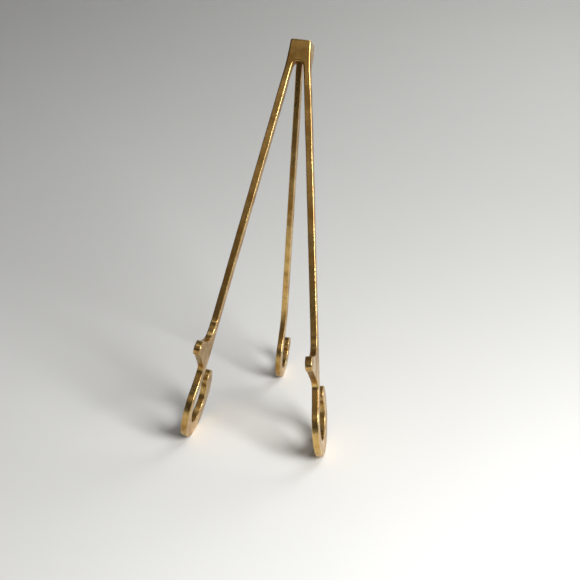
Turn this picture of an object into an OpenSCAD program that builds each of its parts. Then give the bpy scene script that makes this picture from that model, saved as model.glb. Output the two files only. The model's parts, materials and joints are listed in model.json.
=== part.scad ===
// Folding tripod display easel in cast brass.
// A front frame of two splayed legs under one crown leans back against a single
// rear leg, which folds on a pin through the crown. Every foot is a scroll.
// Millimetres. X is right, Y is back, Z is up. The origin is on the table,
// under the middle of the easel.

/* [Front frame] */
// Lean of the front frame from upright, in degrees
frame_lean = 25; // [20:0.5:28]
// Length of the front frame along its lean, from table to crown top
frame_length = 340; // [330:1:350]
// Splay of each front leg from the frame's middle line, in degrees
leg_splay = 9; // [8:0.5:10]
// Distance of a leg's middle line from the frame's middle line at the crown top
leg_top_offset = 3.9; // [3.8:0.1:4.2]
// Width of a front leg, seen from the front
leg_width = 5.4; // [5.2:0.1:5.6]
// Depth of a front leg, seen from the side
leg_depth = 9.6; // [9:0.1:10]

/* [Crown] */
// Width of the crown at its top
crown_top_width = 16.8; // [16:0.1:17.4]
// Width of the crown where the legs leave it
crown_base_width = 18.8; // [18.4:0.1:19.2]
// Height of the crown's tapered block, down to where the legs leave it
crown_height = 22.5; // [22:0.1:23]
// Depth of the crown at its top
crown_depth = 21; // [19:0.5:23]
// Thickness of the crown wall in front of the hinge slot
crown_wall = 3.3; // [3:0.1:3.6]
// Radius of the small arch under the crown, between the front legs
arch_radius = 5.2; // [5:0.1:5.4]

/* [Front feet] */
// Outer radius of a front scroll
scroll_radius = 30; // [29:0.5:31]
// How far a front scroll bulges in front of its leg's front face
scroll_bulge = 6; // [5:0.5:7]
// Height above the scroll's centre where its leg leaves the straight
scroll_rise = 30; // [28:0.5:32]
// How far the eye of a front scroll is off its centre, which thickens its back
scroll_eye_shift = 2.6; // [2:0.1:3]
// Radius of the rounded tip of a front scroll
scroll_tip_radius = 7; // [6:0.1:7.5]
// Angle of the tip above level, seen from the scroll's centre, in degrees
scroll_tip_angle = 29; // [15:1:35]

/* [Rest ledges] */
// Distance of a ledge's top from the table, along the leg
ledge_height = 98; // [97:0.5:105]
// How far a ledge stands out in front of its leg
ledge_reach = 37; // [35:0.5:38]
// Radius of a ledge's rounded nose
ledge_nose_radius = 5; // [4.6:0.1:5.4]
// Depth of the web under a ledge where it runs into the leg
ledge_root_depth = 23; // [22:0.5:25]
// Depth of the web under a ledge at its nose
ledge_nose_depth = 9; // [8.6:0.1:9.4]
// Radius of the fillet between a ledge's top and its leg
ledge_fillet = 13; // [10:0.5:14]

/* [Rear leg] */
// Width of the rear leg, seen from the front
rear_width = 4.8; // [4.6:0.1:5]
// Depth of the rear leg, seen from the side
rear_depth = 8.6; // [8.4:0.1:9]
// Outer radius of the rear scroll
rear_scroll_radius = 25; // [24:0.5:26]
// How far the rear scroll bulges in front of the rear leg's front face
rear_bulge = 15; // [14:0.5:16]
// Height above the rear scroll's centre where its leg leaves the straight
rear_rise = 48; // [45:0.5:51]
// Radius of the rounded tip of the rear scroll
rear_tip_radius = 6; // [5.5:0.1:6.5]
// Angle of the rear tip above level, seen from the scroll's centre, in degrees
rear_tip_angle = -15; // [-25:1:-5]
// Reach of the rear leg's head above the pin
rear_head_reach = 6.6; // [6.2:0.1:7]

/* [Hinge] */
// Diameter of the hinge pin
pin_diameter = 4; // [3:0.1:4.5]
// Distance of the pin below the crown top, along the lean
pin_drop = 13; // [12.8:0.1:13.5]
// Clearance round the pin in the rear leg, on the radius
pin_clearance = 0.05; // [0.01:0.01:0.1]
// Gap between the rear leg and the crown on every other face
hinge_gap = 0.3; // [0.2:0.05:0.4]

/* [Hidden] */
$fn = 96;

brass = [0.72, 0.54, 0.25];
reach = 60;                    // a length that is surely past any part it cuts
flat_depth = 0.6;              // depth of the flat ground under each foot

// Lean of the table line as it is seen in a front leg's own plane
plane_lean = atan(tan(frame_lean) / cos(leg_splay));
leg_length = frame_length / cos(leg_splay);

// Centre of a front scroll in its leg's plane, as back and up along the leg
scroll_u = scroll_radius - scroll_bulge;
scroll_v = (scroll_radius - flat_depth + scroll_u * sin(plane_lean)) / cos(plane_lean);

// The pin, in the frame's plane and then in the room
pin_u = crown_wall + hinge_gap + rear_depth / 2;
pin_v = frame_length - pin_drop;
pin_back = pin_v * sin(frame_lean) + pin_u * cos(frame_lean);
pin_z = pin_v * cos(frame_lean) - pin_u * sin(frame_lean);

// The front scrolls or ledge noses and the rear tip set the easel's reach along Y
along_y = cos(leg_splay) * sin(frame_lean);
round_y = sqrt(pow(cos(frame_lean), 2) + pow(along_y, 2));
scroll_front = scroll_u * cos(frame_lean) + scroll_v * along_y - scroll_radius * round_y;
nose_front = (ledge_nose_radius - ledge_reach) * cos(frame_lean)
    + (ledge_height - ledge_nose_radius) * along_y - ledge_nose_radius * round_y;
front_reach = min(scroll_front, nose_front);
rear_u = rear_scroll_radius - rear_bulge;
rear_reach = pin_back - rear_depth / 2 + rear_u + rear_tip_radius
    + (rear_scroll_radius - rear_tip_radius) * cos(rear_tip_angle);
frame_y = -(front_reach + rear_reach) / 2;
pin_y = frame_y + pin_back;

// Stands a side outline, drawn as back and up, on the YZ plane with a width along X
module side_plate(width) {
    rotate([90, 0, 90])
        translate([0, 0, -width / 2])
            linear_extrude(width)
                children();
}

// Puts what is drawn in the frame's plane into the room
module in_frame() {
    translate([0, frame_y, 0])
        rotate([-frame_lean, 0, 0])
            children();
}

// A leg's foot in outline, as back and up: a straight bar from the height top down to
// rise, a lead curve forward, and a ring round [radius - bulge, 0] that ends in a
// rounded tip. The bar's front face is at 0. The ring's eye is off centre towards the
// lead curve by eye_shift.
module foot_outline(depth, top, radius, bulge, rise, eye_shift, tip_radius, tip_angle) {
    lead_radius = (pow(rise, 2) + pow(bulge, 2)) / (2 * bulge) - radius;
    centre = [radius - bulge, 0];
    lead_centre = [-lead_radius, rise];
    eye = centre + eye_shift * (lead_centre - centre) / (lead_radius + radius);
    tip_arm = radius - tip_radius;
    translate([0, rise])
        square([depth, top - rise]);
    intersection() {
        polygon([lead_centre, centre, [reach, 0], [reach, rise]]);
        translate(lead_centre)
            difference() {
                circle(lead_radius + depth);
                circle(lead_radius);
            }
    }
    difference() {
        translate(centre)
            circle(radius);
        translate(eye)
            circle(radius - depth - eye_shift);
        polygon([
            centre,
            centre + reach * [cos(tip_angle), sin(tip_angle)],
            centre + [reach, 2 * reach],
            lead_centre + [0, 2 * reach],
            lead_centre
        ]);
    }
    translate(centre + tip_arm * [cos(tip_angle), sin(tip_angle)])
        circle(tip_radius);
}

// A rest ledge outline on the leg's front face, with its top at height 0. A web that
// slopes back from the nose carries it.
module ledge_outline() {
    nose = [ledge_nose_radius - ledge_reach, -ledge_nose_radius];
    inside = leg_depth / 2;
    translate(nose)
        circle(ledge_nose_radius);
    polygon([
        [nose[0], 0],
        [inside, 0],
        [inside, -ledge_root_depth],
        [0, -ledge_root_depth],
        [nose[0], -ledge_nose_depth]
    ]);
    difference() {
        translate([-ledge_fillet, -1])
            square([ledge_fillet + inside, ledge_fillet + 1]);
        translate([-ledge_fillet, ledge_fillet])
            circle(ledge_fillet);
    }
}

// The side outline of a front leg with its ledge and scroll, in the leg's plane
module front_leg_outline() {
    top = leg_length - scroll_v - crown_height / 2;
    translate([0, scroll_v])
        foot_outline(leg_depth, top, scroll_radius, scroll_bulge, scroll_rise,
            scroll_eye_shift, scroll_tip_radius, scroll_tip_angle + plane_lean);
    translate([0, ledge_height])
        ledge_outline();
}

// One front leg in the frame's plane; side is -1 for the left leg, 1 for the right
module front_leg(side) {
    translate([side * leg_top_offset, 0, frame_length])
        rotate([0, -side * leg_splay, 0])
            translate([0, 0, -leg_length])
                side_plate(leg_width)
                    front_leg_outline();
}

// The crown's outline from the front: a tapered block with an arch under it
module crown_front_outline() {
    corner = 2.2;
    difference() {
        union() {
            polygon([
                [-crown_base_width / 2, -crown_height],
                [crown_base_width / 2, -crown_height],
                [crown_top_width / 2, -corner],
                [crown_top_width / 2 - corner, 0],
                [corner - crown_top_width / 2, 0],
                [-crown_top_width / 2, -corner]
            ]);
            for (side = [-1, 1])
                translate([side * (crown_top_width / 2 - corner), -corner])
                    circle(corner);
        }
        translate([0, -crown_height])
            circle(arch_radius);
    }
}

// The crown's outline from the side: deep at the top, tapering into the legs
module crown_side_outline() {
    corner = 3;
    shoulder = 11;
    base_depth = leg_depth - 1;
    polygon([
        [0, -crown_height],
        [base_depth, -crown_height],
        [crown_depth, -shoulder],
        [crown_depth, -corner],
        [crown_depth - corner, 0],
        [0, 0]
    ]);
    translate([crown_depth - corner, -corner])
        circle(corner);
}

// The crown block, solid, with its top at the end of the frame
module crown_block() {
    translate([0, 0, frame_length])
        intersection() {
            translate([0, reach, 0])
                rotate([90, 0, 0])
                    linear_extrude(2 * reach)
                        crown_front_outline();
            side_plate(2 * reach)
                crown_side_outline();
        }
}

// The slot in the crown that the rear leg's head swings in, open behind and below
module hinge_slot() {
    slot_width = rear_width + 2 * hinge_gap;
    slot_top = pin_v + rear_head_reach + hinge_gap;
    translate([-slot_width / 2, crown_wall, slot_top - reach])
        cube([slot_width, reach, reach]);
}

// The hinge bore or pin along X, through the pin's place in the frame's plane
module along_pin(radius, length) {
    translate([-length / 2, pin_u, pin_v])
        rotate([0, 90, 0])
            cylinder(h = length, r = radius);
}

// Everything below the table, taken off to leave a flat under each foot
module below_table() {
    translate([-4 * reach, -4 * reach, -reach])
        cube([8 * reach, 8 * reach, reach]);
}

// The front frame: one casting of crown, two legs, two ledges and two scrolls
module front_frame() {
    color(brass)
        difference() {
            in_frame()
                difference() {
                    union() {
                        crown_block();
                        front_leg(-1);
                        front_leg(1);
                    }
                    hinge_slot();
                    along_pin(pin_diameter / 2, 2 * reach);
                }
            below_table();
        }
}

// The rear leg's head above the pin. Its front is bevelled to the frame's lean, so
// that it bears on the crown's wall when the leg is open.
module rear_head_outline() {
    half = rear_depth / 2;
    intersection() {
        circle(rear_head_reach);
        translate([-half, 0])
            square([rear_depth, rear_head_reach]);
        rotate(-frame_lean)
            translate([-half, -reach])
                square([reach, 2 * reach]);
    }
}

// The side outline of the rear leg, with its pin at the origin
module rear_leg_outline() {
    half = rear_depth / 2;
    scroll_drop = pin_z - rear_scroll_radius + flat_depth;
    rear_head_outline();
    translate([-half, -scroll_drop])
        foot_outline(rear_depth, scroll_drop, rear_scroll_radius, rear_bulge, rear_rise,
            0, rear_tip_radius, rear_tip_angle);
}

// The rear leg, upright, on its running fit round the pin
module rear_leg() {
    color(brass)
        difference() {
            translate([0, pin_y, pin_z])
                side_plate(rear_width)
                    rear_leg_outline();
            in_frame()
                along_pin(pin_diameter / 2 + pin_clearance, 2 * reach);
            below_table();
        }
}

// The hinge pin, a press fit in the crown, cut to the crown's tapered sides
module hinge_pin() {
    color(brass)
        in_frame()
            intersection() {
                along_pin(pin_diameter / 2, 2 * reach);
                crown_block();
            }
}

front_frame();
rear_leg();
hinge_pin();
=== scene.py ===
"""A folding brass display easel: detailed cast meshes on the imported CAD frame.

Each casting is described as a distance function in millimetres, meshed at an even
spacing, and carried into the room in metres.
"""

import json
import math

import bpy
import numpy as np
import openvdb
from mathutils import Matrix, Vector


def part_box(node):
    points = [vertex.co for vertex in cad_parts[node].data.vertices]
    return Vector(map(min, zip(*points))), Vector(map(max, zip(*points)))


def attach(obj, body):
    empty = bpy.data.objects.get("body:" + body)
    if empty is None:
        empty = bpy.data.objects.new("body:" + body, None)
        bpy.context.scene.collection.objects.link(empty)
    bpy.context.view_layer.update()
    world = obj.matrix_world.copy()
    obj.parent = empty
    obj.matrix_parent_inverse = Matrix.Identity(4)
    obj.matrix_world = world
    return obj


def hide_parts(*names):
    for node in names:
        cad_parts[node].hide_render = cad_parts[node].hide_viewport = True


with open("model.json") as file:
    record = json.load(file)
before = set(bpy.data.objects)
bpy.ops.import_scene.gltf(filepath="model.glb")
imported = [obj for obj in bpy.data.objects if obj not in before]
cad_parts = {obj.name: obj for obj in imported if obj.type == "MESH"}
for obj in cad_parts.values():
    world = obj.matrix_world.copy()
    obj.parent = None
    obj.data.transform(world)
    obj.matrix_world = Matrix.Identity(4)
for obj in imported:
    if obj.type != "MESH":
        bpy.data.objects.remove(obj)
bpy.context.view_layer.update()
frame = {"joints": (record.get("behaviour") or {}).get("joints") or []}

MM = 0.001

# ------------------------------------------------------------------ driving sizes, mm
# They repeat the CAD part's own dimensions.
LEAN = math.radians(25)
FRAME_LENGTH = 340
SPLAY = math.radians(9)
LEG_TOP_OFFSET = 3.9
LEG_WIDTH = 5.4
LEG_DEPTH = 9.6
CROWN_TOP_WIDTH = 16.8
CROWN_BASE_WIDTH = 18.8
CROWN_HEIGHT = 22.5
CROWN_DEPTH = 21.0
CROWN_WALL = 3.3
CROWN_SHOULDER = 11.0
CROWN_CORNER = 2.2
CROWN_BACK_CORNER = 3.0
ARCH_RADIUS = 5.2
LEDGE_HEIGHT = 98
LEDGE_REACH = 37
LEDGE_NOSE_RADIUS = 5
LEDGE_ROOT_DEPTH = 23
LEDGE_NOSE_DEPTH = 9
LEDGE_FILLET = 13
REAR_WIDTH = 4.8
REAR_HEAD_REACH = 6.6
PIN_RADIUS = 2.0
PIN_CLEARANCE = 0.05
PIN_DROP = 13
HINGE_GAP = 0.3
FLAT_DEPTH = 0.6

FRONT_FOOT = dict(depth=LEG_DEPTH, radius=30, bulge=6, rise=30, eye_shift=2.6, tip_radius=7)
REAR_FOOT = dict(depth=8.6, radius=25, bulge=15, rise=48, eye_shift=0, tip_radius=6)
FRONT_TIP_ANGLE = math.radians(29)
REAR_TIP_ANGLE = math.radians(-15)

# Finish of the castings
EDGE_ROUND = 0.55              # radius along every edge of a bar
CROWN_ROUND = 1.4              # the same on the crown
BLEND = 1.2                    # how softly the legs run into the crown
CROWN_BACK_BLEND = 2 * BLEND   # the same at the back of the crown
NOSE_BLEND = 3 * BLEND         # the same between a ledge's nose and its web
NECK_BLEND = 5.0               # the same where a ledge's web runs into its leg
SPACING = 0.62                 # size of a mesh face
SWITCH_HEIGHT = 200            # above it the crown's outlines describe the frame
RIPPLE = 0.045                 # height of the waves that hand polishing leaves
RIPPLE_LENGTHS = (11, 38)      # shortest and longest wave
RIPPLE_WAVES = 9

# ------------------------------------------------------------------ derived sizes, mm
plane_lean = math.atan(math.tan(LEAN) / math.cos(SPLAY))
leg_length = FRAME_LENGTH / math.cos(SPLAY)
scroll_u = FRONT_FOOT["radius"] - FRONT_FOOT["bulge"]
scroll_level = FRONT_FOOT["radius"] - FLAT_DEPTH
scroll_v = (scroll_level + scroll_u * math.sin(plane_lean)) / math.cos(plane_lean)
pin_u = CROWN_WALL + HINGE_GAP + REAR_FOOT["depth"] / 2
pin_v = FRAME_LENGTH - PIN_DROP
_, pin_y, pin_z = (c / MM for c in frame["joints"][0]["pos_m"])
frame_y = pin_y - pin_v * math.sin(LEAN) - pin_u * math.cos(LEAN)
rear_scroll_z = REAR_FOOT["radius"] - FLAT_DEPTH


# ------------------------------------------------------------------ distance helpers
def circle(a, b, centre, radius):
    return np.hypot(a - centre[0], b - centre[1]) - radius


def beyond(a, b, point, normal):
    """Distance past the line through point, along its outward normal."""
    size = math.hypot(*normal)
    return ((a - point[0]) * normal[0] + (b - point[1]) * normal[1]) / size


def segment(a, b, start, end):
    """Distance to a straight stretch of an outline."""
    along = (end[0] - start[0], end[1] - start[1])
    share = ((a - start[0]) * along[0] + (b - start[1]) * along[1]) / (along[0] ** 2 + along[1] ** 2)
    share = np.clip(share, 0, 1)
    return np.hypot(a - start[0] - share * along[0], b - start[1] - share * along[1])


def arc(a, b, centre, radius, start, end):
    """Distance to an arc that runs counter-clockwise from the angle start to end."""
    turned = np.mod(np.arctan2(b - centre[1], a - centre[0]) - start, 2 * math.pi)
    on_arc = np.abs(np.hypot(a - centre[0], b - centre[1]) - radius)
    to_ends = [
        np.hypot(a - centre[0] - radius * math.cos(t), b - centre[1] - radius * math.sin(t))
        for t in (start, end)
    ]
    return np.where(turned <= end - start, on_arc, np.minimum(*to_ends))


def round_both(p, q, radius):
    """What lies inside both p and q, with the edge between them rounded."""
    outside = np.hypot(np.maximum(p + radius, 0), np.maximum(q + radius, 0))
    return np.minimum(np.maximum(p, q) + radius, 0) + outside - radius


def blend_either(p, q, width):
    """What lies inside p or q, with a soft run between them."""
    share = np.clip(0.5 + 0.5 * (q - p) / width, 0, 1)
    return q + (p - q) * share - width * share * (1 - share)


def ripple_waves(seed):
    """Long low waves in every direction, as hand polishing leaves them."""
    random = np.random.default_rng(seed)
    waves = []
    for _ in range(RIPPLE_WAVES):
        direction = random.normal(size=3)
        direction /= np.linalg.norm(direction)
        length = random.uniform(*RIPPLE_LENGTHS)
        waves.append((direction * 2 * math.pi / length, random.uniform(0, 2 * math.pi)))
    return waves


def ripple(x, y, z, waves):
    height = 0
    for direction, phase in waves:
        height = height + np.sin(direction[0] * x + direction[1] * y + direction[2] * z + phase)
    return RIPPLE * height / math.sqrt(len(waves))


def min_of(first, *others):
    for other in others:
        first = np.minimum(first, other)
    return first


def max_of(first, *others):
    for other in others:
        first = np.maximum(first, other)
    return first


# ------------------------------------------------------------------ outlines
def foot_outline(a, b, foot, top, tip_angle):
    """A leg's side outline, about its scroll's centre height: bar, lead curve, ring and tip."""
    depth, radius, bulge, rise = (foot[k] for k in ("depth", "radius", "bulge", "rise"))
    lead_radius = (rise**2 + bulge**2) / (2 * bulge) - radius
    to_lead = (-lead_radius - radius + bulge, rise)
    lead_angle = math.atan2(to_lead[1], -to_lead[0])
    centre = (radius - bulge, 0)
    shift = foot["eye_shift"] / (lead_radius + radius)
    eye = (centre[0] + shift * to_lead[0], centre[1] + shift * to_lead[1])
    half = depth / 2
    bar = np.minimum(
        segment(a, b, (half, rise), (half, top)),
        arc(a, b, (-lead_radius, rise), lead_radius + half, -lead_angle, 0),
    )
    ring = np.maximum(
        circle(a, b, centre, radius),
        -circle(a, b, eye, radius - depth - foot["eye_shift"]),
    )
    mouth = np.minimum(
        beyond(a, b, centre, (-math.sin(tip_angle), math.cos(tip_angle))),
        beyond(a, b, centre, (to_lead[1], -to_lead[0])),
    )
    ring = np.maximum(ring, mouth)
    arm = radius - foot["tip_radius"]
    tip = (centre[0] + arm * math.cos(tip_angle), centre[1] + arm * math.sin(tip_angle))
    return min_of(bar - half, ring, circle(a, b, tip, foot["tip_radius"]))


def ledge_outline(a, b):
    """A rest ledge on the leg's front face, with its top at height 0: nose, web and fillet."""
    nose = (LEDGE_NOSE_RADIUS - LEDGE_REACH, -LEDGE_NOSE_RADIUS)
    inside = LEG_DEPTH / 2
    under = (LEDGE_NOSE_DEPTH - LEDGE_ROOT_DEPTH, nose[0])
    web = max_of(b, nose[0] - a, a - inside, beyond(a, b, (0, -LEDGE_ROOT_DEPTH), under))
    fillet = max_of(
        -LEDGE_FILLET - a,
        a - inside,
        -1 - b,
        b - LEDGE_FILLET,
        -circle(a, b, (-LEDGE_FILLET, LEDGE_FILLET), LEDGE_FILLET),
    )
    return blend_either(circle(a, b, nose, LEDGE_NOSE_RADIUS), np.minimum(web, fillet), NOSE_BLEND)


def crown_front_outline(x, h, across_leg, below_leg_top):
    """The frame's front outline above SWITCH_HEIGHT: crown, arch and the two bars."""
    side_lean = (CROWN_BASE_WIDTH - CROWN_TOP_WIDTH) / 2
    side = beyond(x, h, (CROWN_TOP_WIDTH / 2, -CROWN_CORNER), (CROWN_HEIGHT - CROWN_CORNER, side_lean))
    block = np.maximum(round_both(side, h, CROWN_CORNER), -CROWN_HEIGHT - h)
    block = np.maximum(block, -circle(x, h, (0, -CROWN_HEIGHT), ARCH_RADIUS))
    bar = np.maximum(np.abs(across_leg) - LEG_WIDTH / 2, below_leg_top)
    return blend_either(block, bar, BLEND)


def crown_side_outline(u, h):
    """The frame's side outline above SWITCH_HEIGHT: a deep crown that tapers to the bars."""
    base_depth = LEG_DEPTH - 1
    taper = (CROWN_HEIGHT - CROWN_SHOULDER, base_depth - CROWN_DEPTH)
    back = round_both(u - CROWN_DEPTH, h, CROWN_BACK_CORNER)
    back = max_of(back, beyond(u, h, (CROWN_DEPTH, -CROWN_SHOULDER), taper), -CROWN_HEIGHT - h)
    bar = np.maximum(u - LEG_DEPTH, h + CROWN_HEIGHT / 2)
    return np.maximum(-u, blend_either(back, bar, CROWN_BACK_BLEND))


# ------------------------------------------------------------------ the two castings
front_waves = ripple_waves(11)
rear_waves = ripple_waves(29)


def front_frame_distance(x, u, v):
    """The front frame in its own plane: x across, u back, v up along the lean."""
    side = np.abs(x)
    from_top = (side - LEG_TOP_OFFSET, v - FRAME_LENGTH)
    across = from_top[0] * math.cos(SPLAY) + from_top[1] * math.sin(SPLAY)
    along = from_top[1] * math.cos(SPLAY) - from_top[0] * math.sin(SPLAY) + leg_length
    found = None
    if v.min() <= SWITCH_HEIGHT:
        outline = blend_either(
            foot_outline(u, along - scroll_v, FRONT_FOOT, leg_length - scroll_v,
                         FRONT_TIP_ANGLE + plane_lean),
            ledge_outline(u, along - LEDGE_HEIGHT),
            NECK_BLEND,
        )
        found = round_both(outline, np.abs(across) - LEG_WIDTH / 2, EDGE_ROUND)
    if v.max() > SWITCH_HEIGHT:
        h = v - FRAME_LENGTH
        front = crown_front_outline(side, h, across, along - leg_length + CROWN_HEIGHT / 2)
        up_crown = np.clip(1 + (h + CROWN_HEIGHT) / CROWN_HEIGHT, 0, 1)
        edge = EDGE_ROUND + (CROWN_ROUND - EDGE_ROUND) * up_crown
        upper = round_both(front, crown_side_outline(u, h), edge)
        slot_top = pin_v + REAR_HEAD_REACH + HINGE_GAP
        slot = max_of(side - REAR_WIDTH / 2 - HINGE_GAP, CROWN_WALL - u, v - slot_top)
        upper = np.maximum(upper, -slot)
        found = upper if found is None else np.where(v > SWITCH_HEIGHT, upper, found)
    room_height = v * math.cos(LEAN) - u * math.sin(LEAN)
    return np.maximum(found + ripple(x, u, v, front_waves), -room_height)


def rear_leg_distance(x, y, z):
    """The rear leg, upright in the room."""
    half = REAR_FOOT["depth"] / 2
    back = y - pin_y
    up = z - pin_z
    foot = foot_outline(back + half, z - rear_scroll_z, REAR_FOOT, pin_z - rear_scroll_z, REAR_TIP_ANGLE)
    bevel = -(back * math.cos(LEAN) - up * math.sin(LEAN)) - half
    head = max_of(circle(back, up, (0, 0), REAR_HEAD_REACH), np.abs(back) - half, -up, bevel)
    outline = np.maximum(np.minimum(foot, head), -circle(back, up, (0, 0), PIN_RADIUS + PIN_CLEARANCE))
    leg = round_both(outline, np.abs(x) - REAR_WIDTH / 2, EDGE_ROUND)
    return np.maximum(leg + ripple(x, y, z, rear_waves), -z)


# ------------------------------------------------------------------ meshing
BLOCK = 24                     # grid points along a block's side
STEP = 0.04                    # mm, for slopes of a distance function
SETTLING = 3                   # times that points are moved onto the surface
LEAST_SLOPE_SQUARED = 0.1      # keeps a point from jumping where the slope is slight


def new_object(name, points, faces):
    """A smooth-shaded mesh object in the scene."""
    mesh = bpy.data.meshes.new(name)
    mesh.from_pydata(points, [], faces)
    mesh.polygons.foreach_set("use_smooth", np.ones(len(faces), bool))
    mesh.update()
    made = bpy.data.objects.new(name, mesh)
    bpy.context.scene.collection.objects.link(made)
    return made


def slope(distance, p):
    """The direction in which a distance function grows at the points p."""
    columns = []
    for axis in range(3):
        ahead = [p[:, i] + (STEP if i == axis else 0) for i in range(3)]
        behind = [p[:, i] - (STEP if i == axis else 0) for i in range(3)]
        columns.append((distance(*ahead) - distance(*behind)) / (2 * STEP))
    return np.stack(columns, 1)


def surface_of(distance, low, high):
    """Points, outward directions and quads of the surface where distance is 0."""
    grid = openvdb.FloatGrid(BLOCK * SPACING)
    reach = BLOCK * SPACING
    first = [math.floor(c / reach) for c in low]
    last = [math.floor(c / reach) for c in high]
    blocks = np.stack(np.meshgrid(*[np.arange(a, b + 1) for a, b in zip(first, last)], indexing="ij"), -1)
    inner = np.arange(BLOCK) * SPACING
    for block in blocks.reshape(-1, 3):
        corner = block * reach
        middle = [np.array([c + reach / 2]) for c in corner]
        if abs(distance(*middle)[0]) > reach:
            continue
        points = np.meshgrid(*[c + inner for c in corner], indexing="ij")
        values = distance(*points).astype(np.float32)
        grid.copyFromArray(values, ijk=tuple(int(c) for c in block * BLOCK))
    grid.transform = openvdb.createLinearTransform(voxelSize=SPACING)
    points, quads = grid.convertToQuads(0.0)
    points = points.astype(float)
    for _ in range(SETTLING):
        way = slope(distance, points)
        size = np.maximum((way**2).sum(1), LEAST_SLOPE_SQUARED)
        points -= (distance(*points.T) / size)[:, None] * way
    way = slope(distance, points)
    return points, way / np.linalg.norm(way, axis=1)[:, None], quads


def cast_mesh(name, distance, low, high, to_room):
    """An object from a distance function; to_room carries its millimetres into the room."""
    points, way, quads = surface_of(distance, low, high)
    turn = np.array(to_room.to_3x3())
    points = (points @ turn.T + np.array(to_room.translation)) * MM
    way = way @ turn.T
    one = points[quads]
    facing = np.cross(one[:, 1] - one[:, 0], one[:, 3] - one[:, 0])
    if (facing * way[quads[:, 0]]).sum() < 0:
        quads = quads[:, ::-1]
    made = new_object(name, points.tolist(), quads.tolist())
    made.data.normals_split_custom_set_from_vertices(way.tolist())
    return made


def lathe_along_x(name, profile, place, sides=64):
    """A turned piece: profile is (x, radius) pairs in mm, turned about the X line through place."""
    points = []
    quads = []
    for x, radius in profile:
        for i in range(sides):
            t = 2 * math.pi * i / sides
            points.append(Vector((x, radius * math.cos(t), radius * math.sin(t))) * MM + place)
    for ring in range(len(profile) - 1):
        for i in range(sides):
            j = (i + 1) % sides
            near = ring * sides
            far = near + sides
            quads.append((near + i, near + j, far + j, far + i))
    ends = [tuple(range(sides))[::-1], tuple(range((len(profile) - 1) * sides, len(profile) * sides))]
    return new_object(name, points, quads + ends)


# ------------------------------------------------------------------ material
def socket_link(tree, source, target):
    tree.links.new(source, target)


def new_node(tree, kind, **settings):
    made = tree.nodes.new(kind)
    for key, value in settings.items():
        if key in made.inputs:
            made.inputs[key].default_value = value
        else:
            setattr(made, key, value)
    return made


def noise(tree, where, scale, detail=3.0, roughness=0.55, stretch=None, shift=(0, 0, 0)):
    """A noise value from 0 to 1; scale is in waves per metre."""
    place = new_node(tree, "ShaderNodeMapping")
    place.inputs["Scale"].default_value = stretch or (1, 1, 1)
    place.inputs["Location"].default_value = shift
    socket_link(tree, where, place.inputs["Vector"])
    made = new_node(tree, "ShaderNodeTexNoise", Scale=scale, Detail=detail, Roughness=roughness)
    socket_link(tree, place.outputs["Vector"], made.inputs["Vector"])
    return made.outputs["Fac"]


def spread(tree, value, low, high, to_low=0.0, to_high=1.0):
    """Stretches value from low..high to to_low..to_high, with soft ends."""
    made = new_node(tree, "ShaderNodeMapRange", interpolation_type="SMOOTHSTEP")
    for key, number in (("From Min", low), ("From Max", high), ("To Min", to_low), ("To Max", to_high)):
        made.inputs[key].default_value = number
    socket_link(tree, value, made.inputs["Value"])
    return made.outputs["Result"]


def mix_colour(tree, share, first, second, blend="MIX"):
    """Mixes two colours; each is a socket or a plain colour."""
    made = new_node(tree, "ShaderNodeMix", data_type="RGBA", blend_type=blend)
    for key, source in ((0, share), (6, first), (7, second)):
        if isinstance(source, bpy.types.NodeSocket):
            socket_link(tree, source, made.inputs[key])
        else:
            made.inputs[key].default_value = source if key == 0 else (*source, 1)
    return made.outputs[2]


def maths(tree, operation, first, second):
    made = new_node(tree, "ShaderNodeMath", operation=operation, use_clamp=False)
    for key, source in enumerate((first, second)):
        if isinstance(source, bpy.types.NodeSocket):
            socket_link(tree, source, made.inputs[key])
        else:
            made.inputs[key].default_value = source
    return made.outputs[0]


BRASS = (0.640, 0.420, 0.150)
# pale brass for the edges: rubbed wear with a painted highlight on top
PALE_WEAR_AND_HIGHLIGHT = (0.780, 0.600, 0.300)
TARNISH = (0.400, 0.215, 0.055)
OLIVE = (0.270, 0.210, 0.085)
# dark patina for the specks, also the painted shade in the hollows
PATINA_AND_SHADE = (0.060, 0.040, 0.018)
CLOUD_SCALE = 55               # waves per metre, as are the next three
BLOTCH_SCALE = 210
SPECK_SCALE = 1100
BRUSH_SCALE = 900
BUMP_STRENGTH = 0.22
BUMP_DEPTH = 0.00012           # metres
BRUSH_STRETCH = (1, 1, 0.07)   # draws the brushing out along the height


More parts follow.
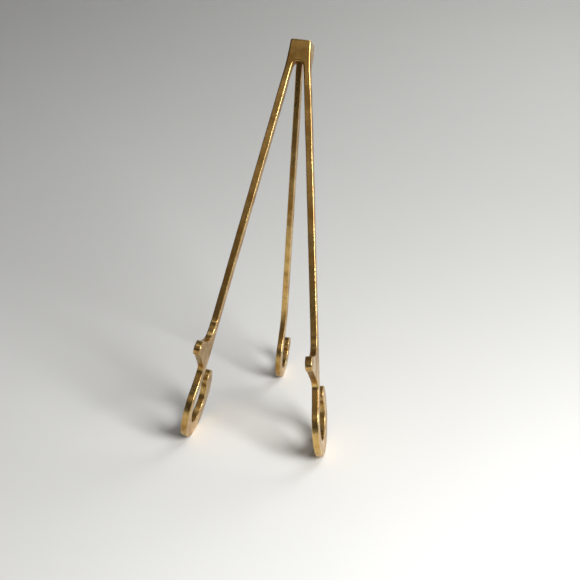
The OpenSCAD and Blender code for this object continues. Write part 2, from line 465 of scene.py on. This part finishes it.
def brass_material(name, seed):
    """Aged polished brass: cloudy tarnish, fine scratches, pale edges that are rubbed wear and painted
    highlight, and near-black hollows that are tarnish and painted shade.
    """
    material = bpy.data.materials.new(name)
    material.use_nodes = True
    tree = material.node_tree
    tree.nodes.clear()
    out = new_node(tree, "ShaderNodeOutputMaterial")
    shader = new_node(tree, "ShaderNodeBsdfPrincipled", Metallic=1.0)
    socket_link(tree, shader.outputs[0], out.inputs["Surface"])
    where = new_node(tree, "ShaderNodeTexCoord").outputs["Object"]
    shift = (seed * 0.37, seed * 0.11, seed * 0.23)

    clouds = noise(tree, where, CLOUD_SCALE, 4, 0.6, shift=shift)
    blotches = noise(tree, where, BLOTCH_SCALE, 5, 0.65, shift=shift)
    specks = noise(tree, where, SPECK_SCALE, 3, 0.6, shift=shift)
    brushed = noise(tree, where, BRUSH_SCALE, 2, 0.5, stretch=BRUSH_STRETCH, shift=shift)

    bevel = new_node(tree, "ShaderNodeNewGeometry").outputs["Pointiness"]
    # convex edges: pale painted highlight that also stands for rubbed wear
    rubbed_and_highlight_edges = spread(tree, bevel, 0.515, 0.60)
    # concave hollows: near-black painted shade that also stands for tarnish there
    tarnish_and_shade_hollows = spread(tree, bevel, 0.485, 0.43)

    colour = mix_colour(tree, spread(tree, clouds, 0.40, 0.64), BRASS, TARNISH)
    colour = mix_colour(tree, spread(tree, blotches, 0.52, 0.72, 0, 0.7), colour, OLIVE)
    colour = mix_colour(tree, spread(tree, specks, 0.62, 0.78, 0, 0.55), colour, PATINA_AND_SHADE)
    # paints the shade into the hollows
    colour = mix_colour(tree, maths(tree, "MULTIPLY", tarnish_and_shade_hollows, 0.8), colour, PATINA_AND_SHADE)
    # paints the highlight onto the edges
    colour = mix_colour(tree, maths(tree, "MULTIPLY", rubbed_and_highlight_edges, 0.8), colour, PALE_WEAR_AND_HIGHLIGHT)
    socket_link(tree, colour, shader.inputs["Base Color"])

    rough = spread(tree, clouds, 0.35, 0.7, 0.24, 0.38)
    rough = maths(tree, "ADD", rough, spread(tree, blotches, 0.45, 0.75, 0.0, 0.10))
    rough = maths(tree, "ADD", rough, spread(tree, specks, 0.5, 0.8, 0.0, 0.08))
    socket_link(tree, rough, shader.inputs["Roughness"])

    height = maths(tree, "ADD", blotches, maths(tree, "MULTIPLY", specks, 0.35))
    height = maths(tree, "ADD", height, maths(tree, "MULTIPLY", brushed, 0.45))
    bump = new_node(tree, "ShaderNodeBump", Strength=BUMP_STRENGTH, Distance=BUMP_DEPTH)
    socket_link(tree, height, bump.inputs["Height"])
    socket_link(tree, bump.outputs["Normal"], shader.inputs["Normal"])
    return material


def paper_material(name, colour):
    """Matt studio paper with a faint fibre mottle."""
    material = bpy.data.materials.new(name)
    material.use_nodes = True
    tree = material.node_tree
    shader = tree.nodes["Principled BSDF"]
    where = new_node(tree, "ShaderNodeTexCoord").outputs["Object"]
    mottle = noise(tree, where, 9, 4)
    darker = tuple(c * 0.975 for c in colour)
    socket_link(tree, mix_colour(tree, mottle, colour, darker), shader.inputs["Base Color"])
    shader.inputs["Roughness"].default_value = 0.9
    shader.inputs["Specular IOR Level"].default_value = 0.1
    fibre = new_node(tree, "ShaderNodeBump", Strength=0.08, Distance=0.0003)
    socket_link(tree, noise(tree, where, 800, 3), fibre.inputs["Height"])
    socket_link(tree, fibre.outputs["Normal"], shader.inputs["Normal"])
    return material


# ------------------------------------------------------------------ the visual model
FRONT_LOW = (-64, -38, -4)     # a box around the front frame, in its own leaning axes
FRONT_HIGH = (64, 68, 344)
REAR_LOW = (-4, pin_y - 26, -3)             # a box around the rear leg, in the room's axes
REAR_HIGH = (4, pin_y + 38, pin_z + 9)


def build_front_frame():
    to_room = Matrix.Translation((0, frame_y, 0)) @ Matrix.Rotation(-LEAN, 4, "X")
    made = cast_mesh("front_frame_cast", front_frame_distance, FRONT_LOW, FRONT_HIGH, to_room)
    made.data.materials.append(brass_material("brass_front", 1))
    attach(made, "frame")
    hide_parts("front_frame")


def build_rear_leg():
    made = cast_mesh("rear_leg_cast", rear_leg_distance, REAR_LOW, REAR_HIGH, Matrix.Identity(4))
    made.data.materials.append(brass_material("brass_rear", 5))
    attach(made, "rear_leg")
    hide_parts("rear_leg")


PIN_HEAD = 0.5                 # how far the peened ends stand proud of the crown
PIN_HEAD_RADIUS = 2.35
PIN_HEAD_SINK = 0.05           # how far a head's underside is sunk in the crown
PIN_HEAD_DOME = ((0.45, 0.93), (0.8, 0.7), (1.0, 0.3))    # shares of height and radius


def build_hinge_pin():
    low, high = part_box("hinge_pin")
    half = (high.x - low.x) / MM / 2
    head = [(half - PIN_HEAD_SINK, PIN_RADIUS), (half - PIN_HEAD_SINK, PIN_HEAD_RADIUS)]
    for height, width in PIN_HEAD_DOME:
        head.append((half + PIN_HEAD * height, PIN_HEAD_RADIUS * width))
    profile = [(-x, r) for x, r in head[::-1]] + head
    made = lathe_along_x("hinge_pin_peened", profile, Vector((0, pin_y, pin_z)) * MM)
    made.data.materials.append(brass_material("brass_pin", 9))
    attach(made, "frame")
    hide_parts("hinge_pin")


build_front_frame()
build_rear_leg()
build_hinge_pin()


# ------------------------------------------------------------------ studio
FLOOR_FRONT = -0.31            # the paper ends just outside the picture's lower edge
FLOOR_BACK = 1.5               # far enough to look at the easel from behind
FLOOR_HALF = 1.8
SWEEP_RADIUS = 0.35
PAPER_TURN = math.radians(14)  # the paper lies a little askew to the easel
BACKDROP_HEIGHT = 1.1
PAPER = (0.80, 0.80, 0.78)


def build_backdrop():
    """One sheet of paper: floor, a curved sweep, and a wall behind."""
    line = [(FLOOR_FRONT, 0.0)]
    steps = 24
    for i in range(steps + 1):
        t = math.pi / 2 * i / steps
        line.append((FLOOR_BACK + SWEEP_RADIUS * math.sin(t), SWEEP_RADIUS * (1 - math.cos(t))))
    line.append((FLOOR_BACK + SWEEP_RADIUS, BACKDROP_HEIGHT))
    points = [(x, y, z) for y, z in line for x in (-FLOOR_HALF, FLOOR_HALF)]
    quads = [(2 * i, 2 * i + 1, 2 * i + 3, 2 * i + 2) for i in range(len(line) - 1)]
    made = new_object("paper_sweep", points, quads)
    made.matrix_world = Matrix.Rotation(PAPER_TURN, 4, "Z")
    made.data.materials.append(paper_material("paper", PAPER))


def soft_light(name, place, target, size, watts, colour=(1, 1, 1)):
    data = bpy.data.lights.new(name, "AREA")
    data.shape = "RECTANGLE"
    data.size, data.size_y = size
    data.energy = watts
    data.color = colour
    made = bpy.data.objects.new(name, data)
    made.location = place
    made.rotation_euler = (Vector(target) - Vector(place)).to_track_quat("-Z", "Y").to_euler()
    bpy.context.scene.collection.objects.link(made)


def dim_world(strength, colour):
    world = bpy.data.worlds.new("studio")
    bpy.context.scene.world = world
    world.use_nodes = True
    background = world.node_tree.nodes["Background"]
    background.inputs["Color"].default_value = (*colour, 1)
    background.inputs["Strength"].default_value = strength


build_backdrop()
ROOM_LIGHT = 0.035
ROOM_COLOUR = (1.0, 0.97, 0.92)
LIGHTS = (
    dict(name="key", place=(0.78, -0.58, 0.66), target=(0.25, -0.15, 0), size=(0.6, 0.6), watts=16),
    dict(name="top_fill", place=(0.3, -0.2, 1.5), target=(0.2, -0.15, 0), size=(0.9, 0.7), watts=4),
    dict(name="back_wash", place=(0.8, 1.1, 1.2), target=(0.45, 1.0, 0), size=(0.9, 0.9), watts=9),
    dict(name="room_glow", place=(-0.2, -1.7, 1.3), target=(0, 0, 0.25), size=(1.2, 0.5), watts=0.9,
         colour=(1.0, 0.82, 0.58)),
)
for light in LIGHTS:
    soft_light(**light)
dim_world(ROOM_LIGHT, ROOM_COLOUR)

CAMERA_PLACE = (0.147803, -0.856965, 0.560569)
CAMERA_TURN = math.radians(8.99)
CAMERA_DIP = math.radians(27.15)
CAMERA_ROLL = math.radians(3.62)
CAMERA_LENS = 74.48
SENSOR_WIDTH = 36


def build_camera():
    data = bpy.data.cameras.new("camera")
    data.sensor_width = SENSOR_WIDTH
    data.lens = CAMERA_LENS
    data.dof.use_dof = False
    made = bpy.data.objects.new("camera", data)
    made.matrix_world = (
        Matrix.Translation(CAMERA_PLACE)
        @ Matrix.Rotation(CAMERA_TURN, 4, "Z")
        @ Matrix.Rotation(math.pi / 2 - CAMERA_DIP, 4, "X")
        @ Matrix.Rotation(CAMERA_ROLL, 4, "Z")
    )
    bpy.context.scene.collection.objects.link(made)
    bpy.context.scene.camera = made


build_camera()
bpy.context.scene.view_settings.view_transform = "Standard"
